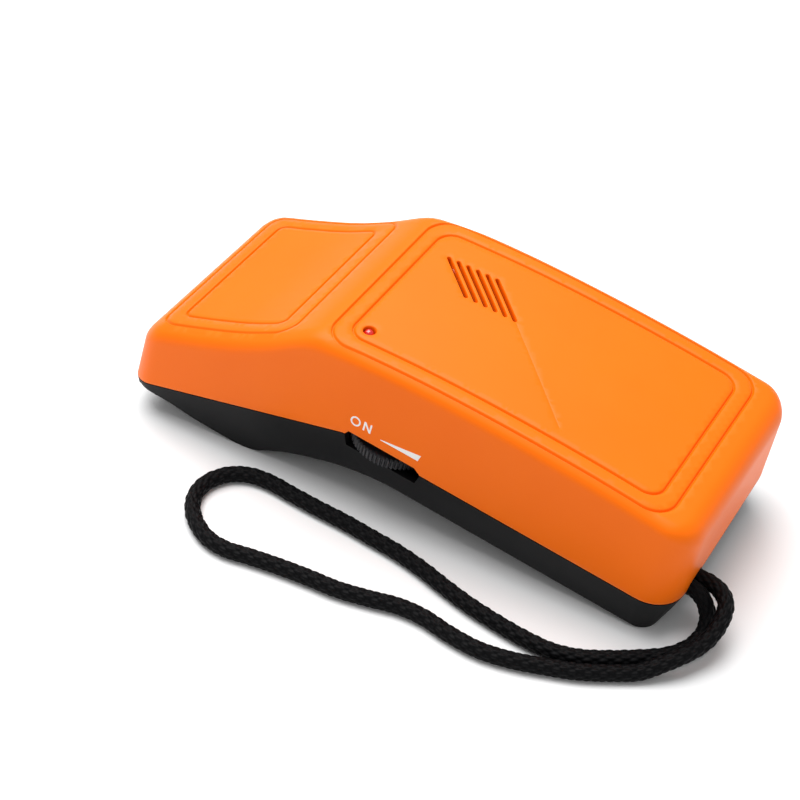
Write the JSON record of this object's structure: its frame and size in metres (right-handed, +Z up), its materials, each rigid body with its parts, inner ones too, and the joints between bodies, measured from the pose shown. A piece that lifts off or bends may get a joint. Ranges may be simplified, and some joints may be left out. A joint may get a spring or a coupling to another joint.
{
  "type": "handheld needle detector",
  "caption": "Hand-held needle detector: bent two-shell housing with a flat sensing head, side thumbwheel, lamp, speaker slots, sliding battery door and braided wrist strap.",
  "frame": {"origin": "on the standing surface, under the middle of the housing's footprint, without the strap", "axes": "+X from the sensing head towards the rear wall, +Z up from the standing surface, the thumbwheel on the -Y side"},
  "size_m": [0.1895, 0.112, 0.0542],
  "materials": {
    "orange_shell": "moulded, satin gloss",
    "black_shell": "moulded, fine satin",
    "wheel_plastic": "moulded, serrated rim",
    "screw_steel": "zinc plated",
    "white_nylon": "natural nylon",
    "tinned_metal": "tinned",
    "green_board": "solder resist on glass laminate",
    "black_epoxy": "moulded epoxy",
    "blue_sleeve": "shrink sleeve",
    "blue_trimmer": "moulded",
    "resistor_body": "lacquered ceramic",
    "red_lens": "clear red epoxy",
    "paper_cone": "pressed paper",
    "ferrite": "sintered ferrite",
    "red_sleeve": "wire insulation",
    "black_sleeve": "wire insulation",
    "battery_wrap": "printed steel jacket, plain",
    "nickel": "nickel plate",
    "grey_foam": "open-cell foam",
    "copper_wire": "enamelled copper winding",
    "braid": "braided nylon"
  },
  "bodies": {
    "housing": {"top_shell": "orange_shell", "bottom_shell": "black_shell", "case_screw_front_near": "screw_steel", "case_screw_front_far": "screw_steel", "case_screw_rear_near": "screw_steel", "case_screw_rear_far": "screw_steel", "control_body": "tinned_metal", "circuit_board": "green_board", "board_screw_1": "screw_steel", "board_screw_2": "screw_steel", "board_screw_3": "screw_steel", "amplifier_chip": "black_epoxy", "oscillator_chip": "black_epoxy", "capacitor_large": "blue_sleeve", "capacitor_small": "blue_sleeve", "trimmer": "blue_trimmer", "transistor": "black_epoxy", "resistor_1": "resistor_body", "resistor_2": "resistor_body", "lamp_lens": "red_lens", "lamp_leg_anode": "tinned_metal", "lamp_leg_cathode": "tinned_metal", "speaker_frame": "tinned_metal", "speaker_cone": "paper_cone", "speaker_magnet": "ferrite", "speaker_lead_1": "red_sleeve", "speaker_lead_2": "black_sleeve", "battery_case": "battery_wrap", "battery_terminal_plus": "nickel", "battery_terminal_minus": "nickel", "battery_snap": "black_sleeve", "battery_lead_plus": "red_sleeve", "battery_lead_minus": "black_sleeve", "battery_pad": "grey_foam", "coil_former": "white_nylon", "coil_winding": "copper_wire", "ferrite_core": "ferrite", "bias_magnet": "nickel", "coil_lead_1": "red_sleeve", "coil_lead_2": "black_sleeve", "strap_knot": "braid", "strap_cord": "braid"},
    "wheel": {"thumbwheel": "wheel_plastic", "thumbwheel_screw": "screw_steel", "control_shaft": "white_nylon"},
    "door": {"battery_door": "black_shell"}
  },
  "joints": [
    {"name": "thumbwheel_turn", "type": "hinge", "parent": "housing", "child": "wheel", "pos_m": [-0.00426, -0.02505, 0.02353], "axis": [0.1403, 0, 0.9901], "range_deg": [0, 280]},
    {"name": "battery_door_slide", "type": "slide", "parent": "housing", "child": "door", "axis": [0.9901, 0, -0.1403], "range_m": [0, 0.009]}
  ]
}
